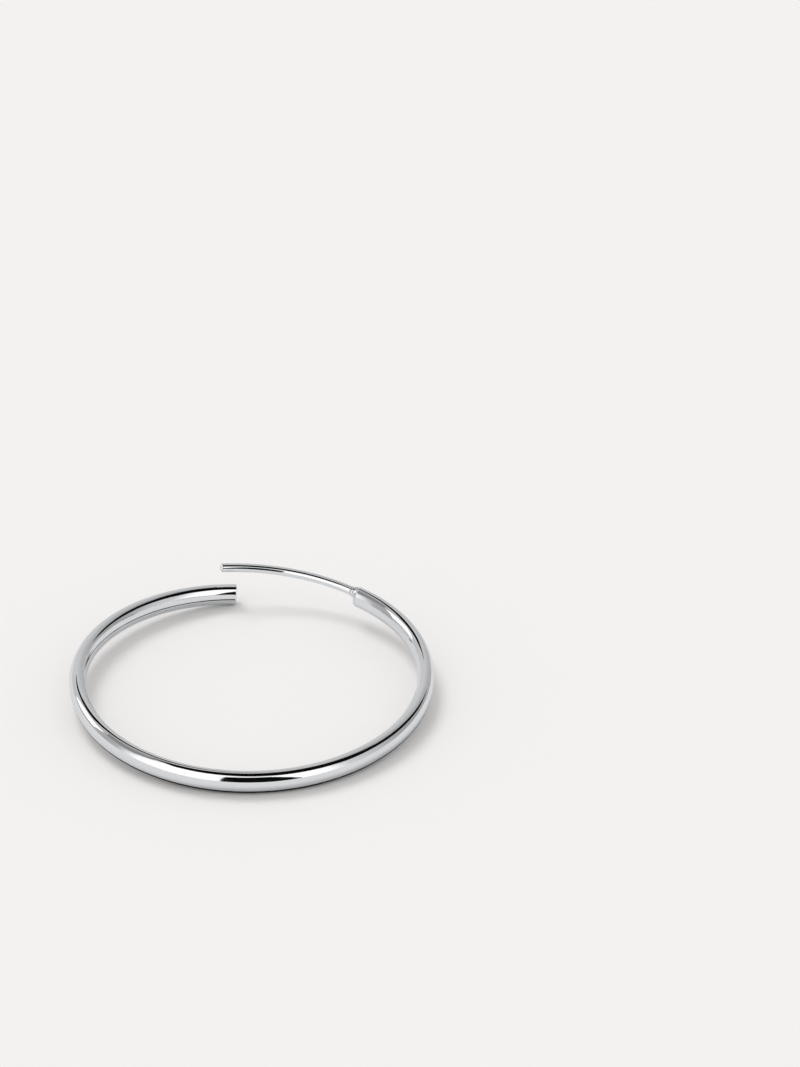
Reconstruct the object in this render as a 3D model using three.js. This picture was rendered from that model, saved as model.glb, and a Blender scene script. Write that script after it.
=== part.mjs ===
// Plain hoop earring of thin oval silver tube with a sprung ear wire. Millimetres, +Z up.
// It lies on its side at rest: the tube touches the floor at its low point and at its open mouth.
import * as THREE from 'three';

// ---- driving dimensions ----
const RING_R = 16.7;         // radius of the tube's centre line
const HALF_W = 0.82;         // half the tube's width, across the ring
const HALF_H = 1.115;        // half the tube's height, along the ring's axis
const WALL = 0.18;           // tube wall
const MOUTH_DEG = 95;        // open end that takes the wire
const ROOT_DEG = 410.5;      // end that carries the wire
const STEPS = 95;            // stations along the tube
const SIDES = 20;            // corners of each section
const LOW_STEP = 54.5;       // the tube's low point lies in the middle of this step
const LEAN_RISE = 1.95;      // height of the ring's far side above its low point
const DIP = 1.95;            // how far the sprung mouth hangs below the ring's plane
const DIP_SPAN_DEG = 88;     // stretch of ring that bends down to the mouth
const DIP_POWER = 1.25;
const MOUTH_ROUND = 0.06;    // rounding of the mouth's rim
const ROOT_ROUND = 0.16;     // rounding of the root's rim
const PLUG_GAP = 0.03;       // clearance between plug and bore
const PLUG_DEG = 8;          // how far the plug reaches into the tube
const WIRE_R = 0.455;        // radius of the ear wire
const BEAD_R = 0.56;         // bead round the wire's foot
const WIRE_TIP_DEG = 99.3;   // the tip passes the mouth
const WIRE_OUT = 0.2;        // the wire's foot sits this far outside the tube's centre line
const WIRE_UP = 0.2;         // and this far above it
const WIRE_FLARE = 0.12;     // outward spring of the wire at its tip
const WIRE_RISE = 1.2;       // sideways spring: rise of the wire from foot to tip
const TIP_ROUND = 0.2;       // bevel on the wire's cut end
const SILVER = 0xd9dbde;

const rad = (deg) => deg * Math.PI / 180;
const STEP_DEG = (ROOT_DEG - MOUTH_DEG) / STEPS;
const LOW_DEG = MOUTH_DEG + LOW_STEP * STEP_DEG;
const UP = new THREE.Vector3(0, 0, 1);

// ---- centre lines ----
function tubeLine(deg) {
  const a = rad(deg);
  const s = Math.max(0, (MOUTH_DEG + DIP_SPAN_DEG - deg) / DIP_SPAN_DEG);
  const z = HALF_H * Math.cos(Math.PI / SIDES)
    + LEAN_RISE * (1 - Math.cos(rad(deg - LOW_DEG))) / 2 - DIP * s ** DIP_POWER;
  return new THREE.Vector3(RING_R * Math.cos(a), RING_R * Math.sin(a), z);
}

function wireLine(deg) {
  const s = (deg - ROOT_DEG) / (WIRE_TIP_DEG + 360 - ROOT_DEG);
  const r = RING_R + WIRE_OUT + WIRE_FLARE * s;
  const z = tubeLine(ROOT_DEG).z + WIRE_UP + WIRE_RISE * s;
  return new THREE.Vector3(r * Math.cos(rad(deg)), r * Math.sin(rad(deg)), z);
}

// A section: its centre, the two axes it lies in, and its half sizes.
function section(line, deg, halfW, halfH, shift = 0) {
  const along = line(deg + 0.05).sub(line(deg - 0.05)).normalize();
  const out = new THREE.Vector3().crossVectors(along, UP).normalize();
  const up = new THREE.Vector3().crossVectors(out, along).normalize();
  return { at: line(deg).addScaledVector(along, shift), out, up, halfW, halfH };
}

// ---- mesh building ----
function corners({ at, out, up, halfW, halfH }) {
  return Array.from({ length: SIDES }, (_, i) => {
    const f = 2 * Math.PI * (i + 0.5) / SIDES;
    return at.clone().addScaledVector(out, halfW * Math.cos(f)).addScaledVector(up, halfH * Math.sin(f));
  });
}

function skin(sections, closed) {
  const points = [];
  const faces = [];
  for (const s of sections) points.push(...corners(s));
  const count = sections.length;
  const last = closed ? count : count - 1;
  for (let k = 0; k < last; k++) {
    const a = k * SIDES;
    const b = ((k + 1) % count) * SIDES;
    for (let i = 0; i < SIDES; i++) {
      const j = (i + 1) % SIDES;
      faces.push(a + i, b + i, b + j, a + i, b + j, a + j);
    }
  }
  if (!closed) {
    for (const [k, forward] of [[0, false], [count - 1, true]]) {
      const hub = points.push(sections[k].at.clone()) - 1;
      for (let i = 0; i < SIDES; i++) {
        const j = (i + 1) % SIDES;
        const [p, q] = [k * SIDES + i, k * SIDES + j];
        faces.push(...(forward ? [hub, q, p] : [hub, p, q]));
      }
    }
  }
  const geometry = new THREE.BufferGeometry().setFromPoints(points);
  geometry.setIndex(faces);
  geometry.computeVertexNormals();
  return geometry;
}

// Quarter-round easing: how far a rounded edge is cut back at a distance d from the end.
const cutBack = (d, r) => (d >= r ? 0 : r - Math.sqrt(r * r - (r - d) ** 2));

// ---- hoop tube ----
const tubeSections = [];
const mmToDeg = (mm) => mm / RING_R * 180 / Math.PI;
const mouthEase = [0, 0.3, 1].map((f) => f * MOUTH_ROUND);
const rootEase = [1, 0.5, 0.2, 0.04].map((f) => f * ROOT_ROUND);
for (const d of mouthEase) {
  const c = cutBack(d, MOUTH_ROUND);
  tubeSections.push(section(tubeLine, MOUTH_DEG + mmToDeg(d), HALF_W - c, HALF_H - c));
}
for (let k = 1; k < STEPS; k++) {
  tubeSections.push(section(tubeLine, MOUTH_DEG + k * STEP_DEG, HALF_W, HALF_H));
}
for (const d of rootEase) {
  const c = cutBack(d, ROOT_ROUND);
  tubeSections.push(section(tubeLine, ROOT_DEG - mmToDeg(d), HALF_W - c, HALF_H - c));
}
const boreW = HALF_W - WALL;
const boreH = HALF_H - WALL;
for (let k = STEPS; k >= 1; k--) {
  tubeSections.push(section(tubeLine, MOUTH_DEG + k * STEP_DEG, boreW, boreH));
}
for (const d of [MOUTH_ROUND, 0]) {
  const c = cutBack(d, MOUTH_ROUND) / 2;
  tubeSections.push(section(tubeLine, MOUTH_DEG + mmToDeg(d), boreW + c, boreH + c));
}
const tube = new THREE.Mesh(
  skin(tubeSections, true),
  new THREE.MeshStandardMaterial({ color: SILVER, roughness: 0.1, metalness: 1 }),
);
tube.name = 'hoop_tube';

// ---- ear wire, with the plug and bead that seat it in the tube ----
const plugW = boreW - PLUG_GAP;
const plugH = boreH - PLUG_GAP;
const wireSections = [];
for (let k = Math.floor(PLUG_DEG / STEP_DEG); k >= 0; k--) {
  wireSections.push(section(tubeLine, ROOT_DEG - k * STEP_DEG, plugW, plugH));
}
// The plug domes over and narrows to the bead, then to the wire.
const foot = [
  [0.10, 0.96, 0.94], [0.20, 0.86, 0.80], [0.28, 0.70, 0.62],
];
const beadAt = foot[foot.length - 1][0];
const footSize = (plug, share) => plug * share + BEAD_R * (1 - share) * 0.9;
for (const [d, shareW, shareH] of foot) {
  const deg = ROOT_DEG + mmToDeg(d);
  const s = section(wireLine, deg, footSize(plugW, shareW), footSize(plugH, shareH));
  s.at.lerpVectors(tubeLine(deg), wireLine(deg), d / beadAt);
  wireSections.push(s);
}
const beadLong = 0.5;
for (const [f, r] of [[0.25, 1], [0.5, 1.02], [0.75, 0.96]]) {
  wireSections.push(section(wireLine, ROOT_DEG + mmToDeg(beadAt + beadLong * f), BEAD_R * r, BEAD_R * r));
}
const WIRE_STEPS = 34;
const wireFrom = ROOT_DEG + mmToDeg(beadAt + beadLong);
const wireTo = WIRE_TIP_DEG + 360;
for (let k = 0; k <= WIRE_STEPS; k++) {
  wireSections.push(section(wireLine, wireFrom + (wireTo - wireFrom) * k / WIRE_STEPS, WIRE_R, WIRE_R));
}
for (const [d, c] of [[0.5, 0.25], [0.85, 0.6], [1, 1]]) {
  const r = WIRE_R - c * TIP_ROUND;
  wireSections.push(section(wireLine, wireTo + mmToDeg(d * TIP_ROUND), r, r));
}
const wire = new THREE.Mesh(
  skin(wireSections, false),
  new THREE.MeshStandardMaterial({ color: SILVER, roughness: 0.12, metalness: 1 }),
);
wire.name = 'ear_wire';

// ---- origin: middle of the base of the bounding box ----
const group = new THREE.Group();
group.name = 'hoop_earring';
group.add(tube, wire);
const box = new THREE.Box3().setFromObject(group);
const mid = box.getCenter(new THREE.Vector3());
for (const mesh of group.children) mesh.geometry.translate(-mid.x, -mid.y, -box.min.z);

export default group;
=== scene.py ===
"""Hoop earring of thin oval silver tube with a sprung ear wire, lying on a pale floor.

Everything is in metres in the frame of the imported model, and the dimensions below are in millimetres. The two
pieces are finer meshes of the two CAD solids, so that a mirror polish shows smooth reflections.
"""
import math

import bpy
import numpy as np
from mathutils import Matrix, Vector


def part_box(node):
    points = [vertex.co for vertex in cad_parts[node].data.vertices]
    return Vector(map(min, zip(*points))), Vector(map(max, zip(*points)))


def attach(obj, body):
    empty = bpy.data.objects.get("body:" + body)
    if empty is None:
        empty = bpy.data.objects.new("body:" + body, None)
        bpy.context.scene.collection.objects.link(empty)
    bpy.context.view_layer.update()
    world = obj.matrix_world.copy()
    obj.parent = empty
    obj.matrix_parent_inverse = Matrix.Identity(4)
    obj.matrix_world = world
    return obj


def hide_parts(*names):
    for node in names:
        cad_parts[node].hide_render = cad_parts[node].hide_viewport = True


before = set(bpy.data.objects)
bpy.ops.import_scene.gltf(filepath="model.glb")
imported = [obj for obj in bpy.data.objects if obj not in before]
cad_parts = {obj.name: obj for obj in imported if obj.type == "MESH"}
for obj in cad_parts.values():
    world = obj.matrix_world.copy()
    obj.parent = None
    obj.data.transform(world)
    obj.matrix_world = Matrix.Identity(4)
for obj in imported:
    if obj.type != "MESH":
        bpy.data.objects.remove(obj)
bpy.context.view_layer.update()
scene = bpy.context.scene

# ---------------------------------------------------------------- dimensions (mm and degrees round the ring)
MM = 0.001
FACET = math.cos(math.pi / 20)       # the CAD sections have 20 flats; the smooth section touches each of them
RING_R = 16.7                        # radius of the tube's centre line
MM_TO_DEG = 180 / math.pi / RING_R
HALF_W = 0.82 * FACET                # half the tube's width, across the ring
HALF_H = 1.115 * FACET               # half the tube's height, along the ring's axis
WALL = 0.18
MOUTH_DEG, ROOT_DEG = 95.0, 410.5    # the open end, and the end that carries the wire
LOW_DEG = MOUTH_DEG + 54.5 * (ROOT_DEG - MOUTH_DEG) / 95
LEAN_RISE = 1.95                     # height of the ring's far side above its low point at LOW_DEG
DIP, DIP_SPAN, DIP_POWER = 1.95, 88.0, 1.25    # how far the sprung mouth hangs, over how many degrees
MOUTH_ROUND = 0.11                   # rounding of the mouth's rim
ROOT_ROUND, ROOT_DEPTH = 0.34, 0.15  # length and depth of the rounding of the root's rim
PLUG_GAP, PLUG_DEG = 0.03, 6.6       # clearance of the plug, and how far it reaches into the tube
WIRE_R = 0.455 * FACET
WIRE_TIP_DEG = 99.3 + 360            # the tip passes the mouth
WIRE_OUT, WIRE_UP = 0.2, 0.2         # the wire's foot, from the tube's centre line
WIRE_FLARE, WIRE_RISE = 0.12, 1.2    # how far the tip springs outwards and upwards from there
TIP_ROUND = 0.2                      # bevel on the wire's cut end
FOOT_LONG = 0.28                     # the plug narrows to the wire over this length
# Rings worked into the soldered foot: place along the wire, half width, rise of the surface.
FOOT_RINGS = ((0.27, 0.06, -0.09), (0.46, 0.13, 0.10), (0.66, 0.05, -0.10), (0.76, 0.05, 0.05))

# ---------------------------------------------------------------- fineness of the meshes
TUBE_SIDES, WIRE_SIDES = 96, 64
OUTSIDE_STEPS, BORE_STEPS = 620, 300
MOUTH_CLEAR = 0.5                    # degrees kept for the mouth's rim
# Degrees kept for the root's rim. The rim's rounding is 1.17 degrees long, so the skin doubles back on itself
# by 0.08 mm.
ROOT_CLEAR = 0.9
PLUG_STEPS, FOOT_STEPS, WIRE_STEPS, TIP_STEPS = 12, 90, 220, 8
FOOT_FROM, FOOT_TO, WIRE_FROM = 0.01, 0.9, 0.95    # mm past the root's end

# The CAD model is centred on its own box, so the tube's left, right and front give the ring's centre.
tube_low, tube_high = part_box("hoop_tube")
CENTRE = Vector(((tube_low.x + tube_high.x) / 2, tube_low.y + RING_R * MM + HALF_W * MM, 0))


# ---------------------------------------------------------------- centre lines and sections
def tube_line(deg):
    a = np.radians(deg)
    s = np.clip((MOUTH_DEG + DIP_SPAN - deg) / DIP_SPAN, 0, None)
    z = HALF_H + LEAN_RISE * (1 - np.cos(np.radians(deg - LOW_DEG))) / 2 - DIP * s ** DIP_POWER
    return np.stack([RING_R * np.cos(a), RING_R * np.sin(a), z], -1)


def wire_line(deg):
    a = np.radians(deg)
    s = (deg - ROOT_DEG) / (WIRE_TIP_DEG - ROOT_DEG)
    r = RING_R + WIRE_OUT + WIRE_FLARE * s
    z = tube_line(np.full_like(deg, ROOT_DEG))[..., 2] + WIRE_UP + WIRE_RISE * s
    return np.stack([r * np.cos(a), r * np.sin(a), z], -1)


def unit(rows):
    return rows / np.linalg.norm(rows, axis=1)[:, None]


def sections(line, deg):
    """Centre, outward axis and upward axis of the sections at these angles."""
    along = unit(line(deg + 0.05) - line(deg - 0.05))
    out = unit(np.cross(along, [0.0, 0.0, 1.0]))
    return line(deg), out, np.cross(out, along)


def cut_back(d, r):
    """How far a rounded edge of radius r is cut back at a distance d from the end."""
    return np.where(d >= r, 0.0, r - np.sqrt(np.clip(r * r - (r - d) ** 2, 0, None)))


def skin(name, centre, out, up, half_w, half_h, sides, closed, along):
    """A mesh from sections joined in order; closed joins the last to the first. Its UVs are mm and turns."""
    f = 2 * np.pi * np.arange(sides) / sides
    co = (centre[:, None] + (half_w[:, None] * np.cos(f))[..., None] * out[:, None]
          + (half_h[:, None] * np.sin(f))[..., None] * up[:, None])
    n = len(centre)
    points = co.reshape(-1, 3)
    faces, uvs = [], []
    for k in range(n if closed else n - 1):
        a, b = k * sides, ((k + 1) % n) * sides
        ua, ub = along[k], along[(k + 1) % n]
        for i in range(sides):
            j = (i + 1) % sides
            va, vb = i / sides, (i + 1) / sides
            faces.append((a + i, b + i, b + j, a + j))
            uvs += [(ua, va), (ub, va), (ub, vb), (ua, vb)]
    if not closed:
        for k, forward in ((0, False), (n - 1, True)):
            hub = len(points)
            points = np.vstack([points, centre[k]])
            for i in range(sides):
                p, q = k * sides + i, k * sides + (i + 1) % sides
                faces.append((hub, q, p) if forward else (hub, p, q))
                uvs += [(along[k], i / sides)] * 3
    mesh = bpy.data.meshes.new(name)
    mesh.from_pydata((points * MM + np.array(CENTRE)).tolist(), [], faces)
    layer = mesh.uv_layers.new(name="along_round")
    layer.data.foreach_set("uv", np.array(uvs, np.float32).ravel())
    mesh.polygons.foreach_set("use_smooth", [True] * len(mesh.polygons))
    mesh.update()
    piece = bpy.data.objects.new(name, mesh)
    scene.collection.objects.link(piece)
    return piece


def build_tube():
    """Outside from mouth to root, bore back from root to mouth, and the mouth's lip."""
    mouth = np.linspace(0, 1, 7) ** 1.5 * MOUTH_ROUND
    root = np.linspace(1, 0, 10) ** 1.5 * ROOT_ROUND
    lip = np.linspace(1, 0, 6) ** 1.5 * MOUTH_ROUND
    bore = np.linspace(ROOT_DEG, MOUTH_DEG + MOUTH_CLEAR, BORE_STEPS)
    deg = np.concatenate([MOUTH_DEG + mouth * MM_TO_DEG,
                          np.linspace(MOUTH_DEG + MOUTH_CLEAR, ROOT_DEG - ROOT_CLEAR, OUTSIDE_STEPS),
                          ROOT_DEG - root * MM_TO_DEG, bore, MOUTH_DEG + lip * MM_TO_DEG])
    grow = np.concatenate([-cut_back(mouth, MOUTH_ROUND), np.zeros(OUTSIDE_STEPS),
                           -cut_back(root, ROOT_ROUND) * ROOT_DEPTH / ROOT_ROUND,
                           np.full(BORE_STEPS, -WALL), cut_back(lip, MOUTH_ROUND) / 2 - WALL])
    return skin("polished_hoop_tube", *sections(tube_line, deg), HALF_W + grow, HALF_H + grow,
                TUBE_SIDES, True, np.radians(deg) * RING_R)


def build_wire():
    """Plug inside the tube, domed foot, solder bead and the sprung wire with its bevelled tip."""
    bore_w, bore_h = HALF_W - WALL - PLUG_GAP, HALF_H - WALL - PLUG_GAP
    d = np.concatenate([np.linspace(-PLUG_DEG / MM_TO_DEG, 0.0, PLUG_STEPS),
                        np.linspace(FOOT_FROM, FOOT_TO, FOOT_STEPS),
                        np.linspace(WIRE_FROM, (WIRE_TIP_DEG - ROOT_DEG) / MM_TO_DEG, WIRE_STEPS)])
    ease = np.clip(d / FOOT_LONG, 0, 1)
    dome = np.sqrt(np.clip(1 - ease ** 2.2, 0, 1))
    rings = sum(np.exp(-np.abs((d - at) / width) ** 3) * rise for at, width, rise in FOOT_RINGS)
    after = WIRE_R + np.where(d > 0, rings, 0)
    half_w = np.where(d <= 0, bore_w, after + (bore_w - after) * dome)
    half_h = np.where(d <= 0, bore_h, after + (bore_h - after) * dome)
    deg = ROOT_DEG + d * MM_TO_DEG

    tip = np.linspace(0, 1, TIP_STEPS + 1)[1:]
    shrink = WIRE_R - TIP_ROUND * tip ** 1.6
    deg = np.concatenate([deg, deg[-1] + tip * TIP_ROUND * MM_TO_DEG])
    half_w, half_h = np.concatenate([half_w, shrink]), np.concatenate([half_h, shrink])

    # The centre line and axes pass smoothly from the tube's to the wire's.
    share = np.concatenate([ease * ease * (3 - 2 * ease), np.ones(TIP_STEPS)])[:, None]
    centre, out, up = (a * (1 - share) + b * share
                       for a, b in zip(sections(tube_line, deg), sections(wire_line, deg)))
    return skin("sprung_ear_wire", centre, unit(out), unit(up), half_w, half_h, WIRE_SIDES, False,
                np.radians(deg) * RING_R)


# ---------------------------------------------------------------- materials
class Nodes:
    """Short names for making and joining the shader nodes of a material or world."""

    def __init__(self, owner, empty=False):
        owner.use_nodes = True
        self.tree = owner.node_tree
        if empty:
            self.tree.nodes.clear()

    def add(self, kind, **settings):
        """A setting names one of the node's inputs or, failing that, a property."""
        node = self.tree.nodes.new("ShaderNode" + kind)
        for key, value in settings.items():
            if key in node.inputs:
                node.inputs[key].default_value = value
            else:
                setattr(node, key, value)
        return node

    def join(self, source, target):
        self.tree.links.new(source, target)

    def scaled(self, coordinates, scale):
        mapping = self.add("Mapping", Scale=scale)
        self.join(coordinates, mapping.inputs["Vector"])
        return mapping.outputs["Vector"]

    def ramp(self, source, low, high, to_low, to_high):
        span = self.add("MapRange", clamp=True)
        for key, value in (("From Min", low), ("From Max", high), ("To Min", to_low), ("To Max", to_high)):
            span.inputs[key].default_value = value
        self.join(source, span.inputs["Value"])
        return span.outputs["Result"]

    def chosen(self, chooser, no, yes):
        """The shader yes where chooser is 1, and no where it is 0."""
        mix = self.add("MixShader")
        for source, target in zip((chooser, no, yes), mix.inputs):
            self.join(source, target)
        return mix.outputs[0]


BUMP_DEPTH = 0.000002    # m; the drawing lines are all but polished away
SILVER_WORN, SILVER_CLEAN = (0.91, 0.915, 0.922, 1), (0.955, 0.958, 0.963, 1)


def silver(name, rough, streak, scratch):
    """Polished silver: drawing lines along the tube, fine scratches and soft patches in the polish."""
    material = bpy.data.materials.new(name)
    n = Nodes(material)
    bsdf = n.tree.nodes["Principled BSDF"]
    uv = n.add("UVMap", uv_map="along_round").outputs["UV"]
    place = n.add("TexCoord").outputs["Object"]

    lines = n.add("TexNoise", Scale=1.0, Detail=3.0, Roughness=0.6)
    n.join(n.scaled(uv, (0.05, 70.0, 1.0)), lines.inputs["Vector"])
    patches = n.add("TexNoise", Scale=420.0, Detail=3.0, Roughness=0.55)
    n.join(place, patches.inputs["Vector"])

    warp = n.add("TexNoise", Scale=900.0, Detail=2.0)
    n.join(place, warp.inputs["Vector"])
    bent = n.add("VectorMath", operation="MULTIPLY_ADD")
    bent.inputs[1].default_value = (0.35, 0.35, 0.35)
    n.join(warp.outputs["Color"], bent.inputs[0])
    n.join(n.scaled(uv, (0.5, 9.0, 1.0)), bent.inputs[2])
    marks = n.add("TexVoronoi", Scale=1.0, feature="DISTANCE_TO_EDGE")
    n.join(bent.outputs["Vector"], marks.inputs["Vector"])
    scratches = n.ramp(marks.outputs["Distance"], 0.0, 0.012, 1.0, 0.0)

    patch_rough = n.ramp(patches.outputs["Fac"], 0.3, 0.75, rough * 0.7, rough * 1.6)
    roughness = n.add("Math", operation="MULTIPLY_ADD")
    roughness.inputs[1].default_value = scratch
    n.join(scratches, roughness.inputs[0])
    n.join(patch_rough, roughness.inputs[2])
    n.join(roughness.outputs["Value"], bsdf.inputs["Roughness"])

    tone = n.add("ValToRGB")
    worn, clean = tone.color_ramp.elements
    worn.position, worn.color = 0.25, SILVER_WORN
    clean.position, clean.color = 0.8, SILVER_CLEAN
    n.join(patches.outputs["Fac"], tone.inputs["Fac"])
    n.join(tone.outputs["Color"], bsdf.inputs["Base Color"])
    bsdf.inputs["Metallic"].default_value = 1.0

    bump = n.add("Bump", Strength=streak, Distance=BUMP_DEPTH)
    n.join(lines.outputs["Fac"], bump.inputs["Height"])
    n.join(bump.outputs["Normal"], bsdf.inputs["Normal"])
    return material


def emitter(name, level):
    material = bpy.data.materials.new(name)
    n = Nodes(material, empty=True)
    glow = n.add("Emission", Color=(1, 1, 1, 1), Strength=level)
    n.join(glow.outputs[0], n.add("OutputMaterial").inputs["Surface"])
    return material


# ---------------------------------------------------------------- pieces
tube = build_tube()
tube.data.materials.append(silver("polished_silver", 0.04, 0.5, 0.05))
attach(tube, "root")
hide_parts("hoop_tube")

wire = build_wire()
wire.data.materials.append(silver("wire_silver", 0.06, 0.2, 0.05))
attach(wire, "root")
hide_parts("ear_wire")

# ---------------------------------------------------------------- floor
FLOOR_HALF = 2.4
FLOOR_DROP = 0.00001                 # keeps the floor just clear of the metal
FLOOR_COLOR = (0.825, 0.809, 0.794, 1)
# Painted shade: the floor's colour where the polish sees it, darker than the lit floor.
FLOOR_PAINTED_SHADE_IN_POLISH = (0.66, 0.663, 0.67, 1)


def pale_floor():
    """A matt floor with painted shade where the polish sees it: its reflections are darker than the lit floor.
    """
    mesh = bpy.data.meshes.new("floor")
    corners = [(x * FLOOR_HALF, y * FLOOR_HALF, 0) for x, y in ((-1, -1), (1, -1), (1, 1), (-1, 1))]
    mesh.from_pydata(corners, [], [(0, 1, 2, 3)])
    floor = bpy.data.objects.new("floor", mesh)
    floor.location.z = -FLOOR_DROP
    scene.collection.objects.link(floor)
    paper = bpy.data.materials.new("pale_floor")
    n = Nodes(paper)
    matt = n.tree.nodes["Principled BSDF"]
    for key, value in (("Base Color", FLOOR_COLOR), ("Roughness", 1.0), ("Specular IOR Level", 0.0)):
        matt.inputs[key].default_value = value
    # Painted shade: a darker floor that only reflections see.
    painted_shade_in_polish = n.add("BsdfDiffuse", Color=FLOOR_PAINTED_SHADE_IN_POLISH)
    glossy_ray = n.add("LightPath").outputs["Is Glossy Ray"]
    n.join(n.chosen(glossy_ray, matt.outputs[0], painted_shade_in_polish.outputs[0]),
           n.tree.nodes["Material Output"].inputs["Surface"])
    mesh.materials.append(paper)


pale_floor()

# ---------------------------------------------------------------- studio
FLOOR_SEEN = (0.913, 0.896, 0.880, 1)   # the backdrop above the floor, as pale as the lit floor looks
FILL_COLOR, FILL = (0.99, 0.995, 1.0, 1), 0.815    # even light on the floor
# The studio's walls as the polish sees them: azimuth in degrees (0 is +Y, 90 is +X, the camera is at 180) and
# level. A lit wall stands on each side of the camera, the side walls are dim and the back wall is grey.
STUDIO = [(-180, 0.8), (-150, 1.1), (-115, 1.1), (-90, 0.4), (-20, 0.6), (80, 0.35), (120, 0.6), (140, 1.1),
          (160, 1.1), (180, 0.8)]


def studio_world():
    """The camera sees a plain backdrop, the polish sees the walls, and everything else gets the even fill."""
    world = bpy.data.worlds.new("studio")
    scene.world = world
    n = Nodes(world, empty=True)
    ray = n.add("SeparateXYZ")
    n.join(n.add("TexCoord").outputs["Generated"], ray.inputs[0])
    azimuth = n.add("Math", operation="ARCTAN2")
    n.join(ray.outputs["X"], azimuth.inputs[0])
    n.join(ray.outputs["Y"], azimuth.inputs[1])
    share = n.add("Math", operation="MULTIPLY_ADD")
    share.inputs[1].default_value, share.inputs[2].default_value = 1 / (2 * math.pi), 0.5
    n.join(azimuth.outputs[0], share.inputs[0])

    walls = n.add("ValToRGB")
    ramp = walls.color_ramp
    ramp.interpolation = "EASE"
    for k, (degrees, level) in enumerate(STUDIO):
        at = (degrees + 180) / 360
        if k < 2:
            stop = ramp.elements[k]
            stop.position = at
        else:
            stop = ramp.elements.new(at)
        stop.color = (level, level, level * 1.01, 1)
    n.join(share.outputs[0], walls.inputs["Fac"])

    backdrop = n.add("Background", Color=FLOOR_SEEN)
    fill = n.add("Background", Color=FILL_COLOR, Strength=FILL)
    reflected = n.add("Background")
    n.join(walls.outputs["Color"], reflected.inputs["Color"])
    rays = n.add("LightPath")
    lit = n.chosen(rays.outputs["Is Glossy Ray"], fill.outputs[0], reflected.outputs[0])
    n.join(n.chosen(rays.outputs["Is Camera Ray"], lit, backdrop.outputs[0]),
           n.add("OutputWorld").inputs["Surface"])


def direction(azimuth, elevation):
    """Unit vector; azimuth 0 is +Y, 90 is +X."""
    a, e = math.radians(azimuth), math.radians(elevation)
    return Vector((math.sin(a) * math.cos(e), math.cos(a) * math.cos(e), math.sin(e)))


def card(name, points, faces, level):
    """A glowing or black card that only the polish sees."""
    mesh = bpy.data.meshes.new(name)
    mesh.from_pydata(points, [], faces)
    piece = bpy.data.objects.new(name, mesh)
    scene.collection.objects.link(piece)
    mesh.materials.append(emitter(name, level))
    piece.visible_camera = piece.visible_diffuse = piece.visible_shadow = False


BEAM_HEIGHT = 0.9          # m above the floor
GREY_BEAM_HEIGHT = 0.92
# The painted contact shadows lie at this height, between the metal and the floor.
SHADOW_LINE_HEIGHT = -0.000004  # m, between the metal and the floor
SHADOW_LINE_STEPS = 60
PANEL_DISTANCE = 0.8       # m from the ring


def beam(name, path, level, height=BEAM_HEIGHT, scale=None):
    """A level band along path, rows of (x, y, width) times scale, which is its height unless it is given."""
    scale = scale or height
    points = []
    for k, (x, y, width) in enumerate(path):
        before, after = path[max(k - 1, 0)], path[min(k + 1, len(path) - 1)]
        across = Vector((before[1] - after[1], after[0] - before[0], 0)).normalized() * (width / 2)
        for side in (-1, 1):
            points.append(((x + side * across.x) * scale, (y + side * across.y) * scale, height))
    faces = [(2 * k, 2 * k + 1, 2 * k + 3, 2 * k + 2) for k in range(len(path) - 1)]
    card(name, points, faces, level)


def painted_contact_shadow(name, from_deg, to_deg, from_r, to_r, width, level):
    """A painted contact shadow: a dark line on the floor that only the polish sees, an arc in mm."""
    path = []
    for k in range(SHADOW_LINE_STEPS + 1):
        a = math.radians(from_deg + (to_deg - from_deg) * k / SHADOW_LINE_STEPS)
        r = from_r + (to_r - from_r) * k / SHADOW_LINE_STEPS
        path.append((r * math.cos(a), r * math.sin(a), width))
    beam(name, path, level, SHADOW_LINE_HEIGHT, MM)


def panel(name, corners, level):
    """An upright panel; its corners are azimuth and elevation in degrees."""
    card(name, [tuple(direction(*c) * PANEL_DISTANCE) for c in corners], [tuple(range(len(corners)))], level)


def key(name, azimuth, elevation, spread, strength):
    """A broad far lamp, the same all over the floor; spread is its angular size in degrees."""
    data = bpy.data.lights.new(name, "SUN")
    data.angle = math.radians(spread)
    data.energy = strength
    lamp = bpy.data.objects.new(name, data)
    lamp.rotation_euler = direction(azimuth, elevation).to_track_quat("Z", "Y").to_euler()
    lamp.visible_glossy = False
    scene.collection.objects.link(lamp)
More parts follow.
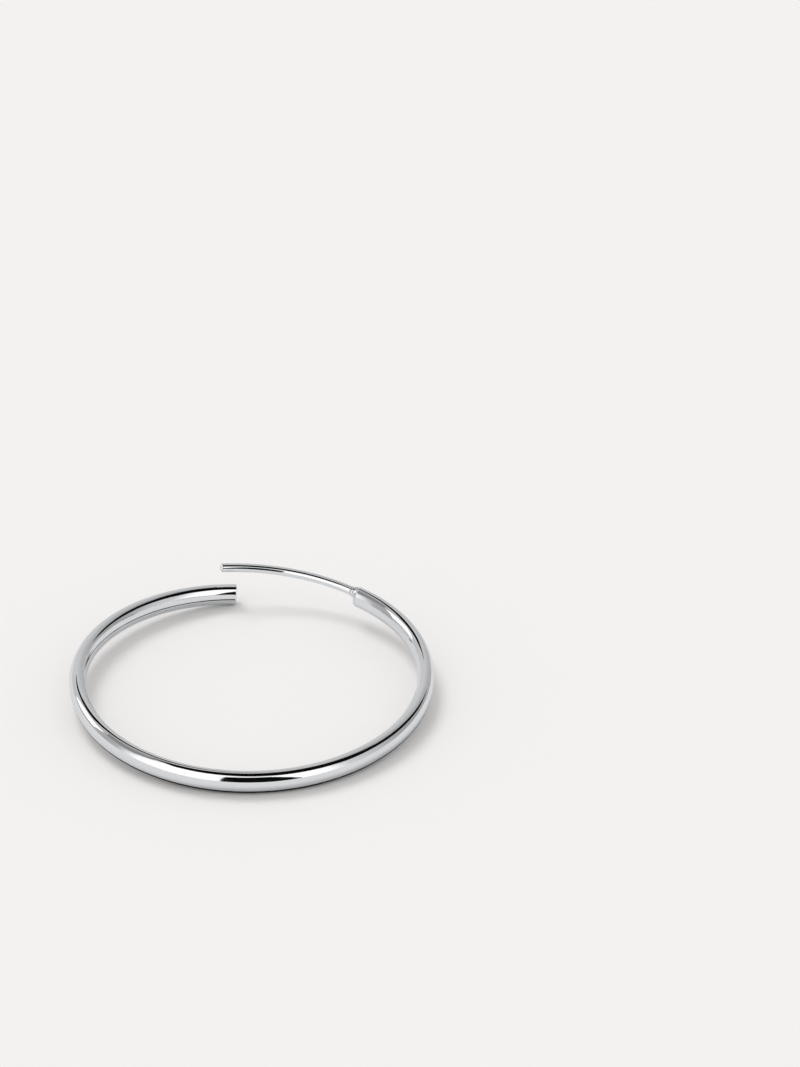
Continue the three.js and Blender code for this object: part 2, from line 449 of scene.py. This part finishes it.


# What the polish reflects: a dark camera side, dark beams overhead, a bright panel and painted contact shadows
# on the floor.
studio_world()
panel("dark_camera_side", [(199, 0.2), (153, 0.2), (169, 44), (198, 44)], 0.003)
beam("dark_beam_right", [(-0.5, 0.0, 0.6), (-0.2, -0.1, 0.8), (0.3, -0.25, 0.9), (0.9, -0.2, 0.9),
                         (1.5, 0.35, 0.9), (2.7, 1.75, 0.8)], 0.003)
beam("dark_beam_left", [(-0.05, 0.95, 0.45), (-0.25, 0.8, 0.6), (-0.5, 0.9, 0.6), (-0.6, 1.3, 0.4)], 0.004)
beam("grey_beam_left", [(-0.5, 0.35, 0.45), (-0.85, 0.1, 0.6), (-1.5, 0.0, 0.6)], 0.25, GREY_BEAM_HEIGHT)
panel("bright_panel_left", [(-76, 11), (-52, 11), (-52, 34), (-76, 34)], 1.5)
# Painted shade: dark arcs on the floor, seen only in the polish, stand in for the tube's contact shadow.
painted_contact_shadow("painted_contact_shadow_under", 185, 352, RING_R + 0.15, RING_R + 0.15, 1.1, 0.02)
painted_contact_shadow("painted_contact_shadow_back_left", 95, 172, 14.9, 13.0, 0.55, 0.04)
painted_contact_shadow("painted_contact_shadow_back_right", 376, 412, 13.2, 12.6, 0.6, 0.04)
key("key_light", -34, 57, 29, 1.07)

# ---------------------------------------------------------------- camera
LENS, FRAME_TALL = 101.22, 36.0      # mm
DISTANCE = 0.2903                    # m from the ring's centre
ELEVATION = 32.94
ROLL = -1.43
LEFT, BELOW = 2.811, 3.036           # degrees from the lens axis to the ring's centre
CLIP_NEAR, CLIP_FAR = 0.01, 20


def tall_camera():
    """A camera on the -Y side, whose axis passes above and to the right of the ring."""
    data = bpy.data.cameras.new("camera")
    data.sensor_fit = "AUTO"
    data.sensor_width = FRAME_TALL
    data.lens = LENS
    data.clip_start, data.clip_end = CLIP_NEAR, CLIP_FAR
    camera = bpy.data.objects.new("camera", data)
    scene.collection.objects.link(camera)

    # Rows of a matrix: the frame's right, its down and the way it looks, turned to put the ring off the axis.
    aim = direction(0, -ELEVATION)
    right = Vector((1, 0, 0))
    to_ring = Vector((-math.tan(math.radians(LEFT)), math.tan(math.radians(BELOW)), 1)).normalized()
    turn = Vector((0, 0, 1)).rotation_difference(to_ring).to_matrix()
    roll = Matrix.Rotation(math.radians(ROLL), 3, "Z")
    axes = turn @ roll @ Matrix((right, aim.cross(right), aim))
    looks = Matrix((axes[0], -axes[1], -axes[2])).transposed().to_4x4()
    camera.matrix_world = Matrix.Translation(CENTRE - aim * DISTANCE) @ looks
    scene.camera = camera


tall_camera()
scene.view_settings.view_transform = "Standard"
